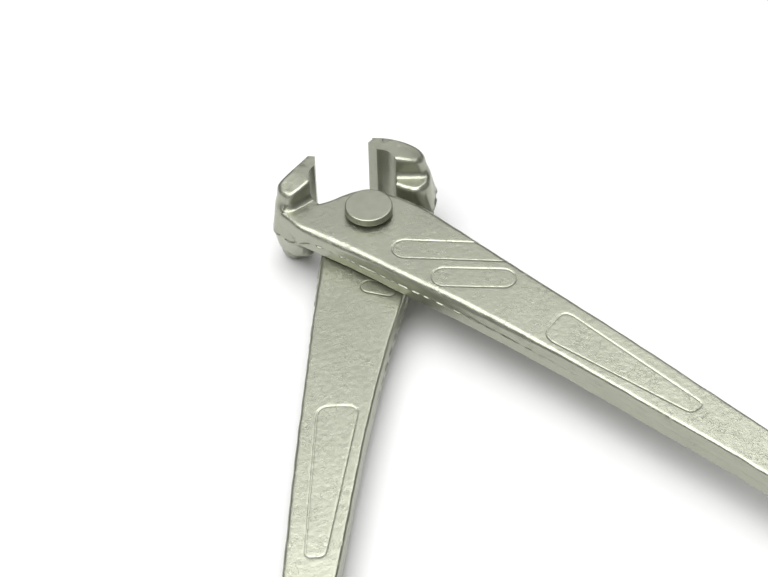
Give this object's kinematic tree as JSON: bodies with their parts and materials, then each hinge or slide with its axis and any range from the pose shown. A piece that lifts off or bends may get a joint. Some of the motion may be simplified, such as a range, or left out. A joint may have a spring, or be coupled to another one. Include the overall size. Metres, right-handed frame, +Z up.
{
  "type": "end cutting nippers",
  "caption": "Long-handled end-cutting nippers for tying wire: two crossed forged steel levers on a rivet, with wide front cutting edges.",
  "frame": {"origin": "Under the middle of the open tool's box, on the plane that the jaws' undersides rest on.", "axes": "+Y towards the jaws, between the two levers; +Z up along the rivet's axis; +X to the right, seen from above with the jaws ahead."},
  "size_m": [0.2266, 0.276, 0.0253],
  "materials": {
    "plated_forging": "satin plated forging",
    "plated_rivet": "smooth satin plating"
  },
  "bodies": {
    "lower": {"lower_lever": "plated_forging", "pivot_rivet": "plated_rivet"},
    "upper": {"upper_lever": "plated_forging"}
  },
  "joints": [
    {"name": "pivot", "type": "hinge", "parent": "lower", "child": "upper", "pos_m": [0, 0.11705, 0.01265], "axis": [0, 0, 1], "range_deg": [-39.8, 22]}
  ]
}
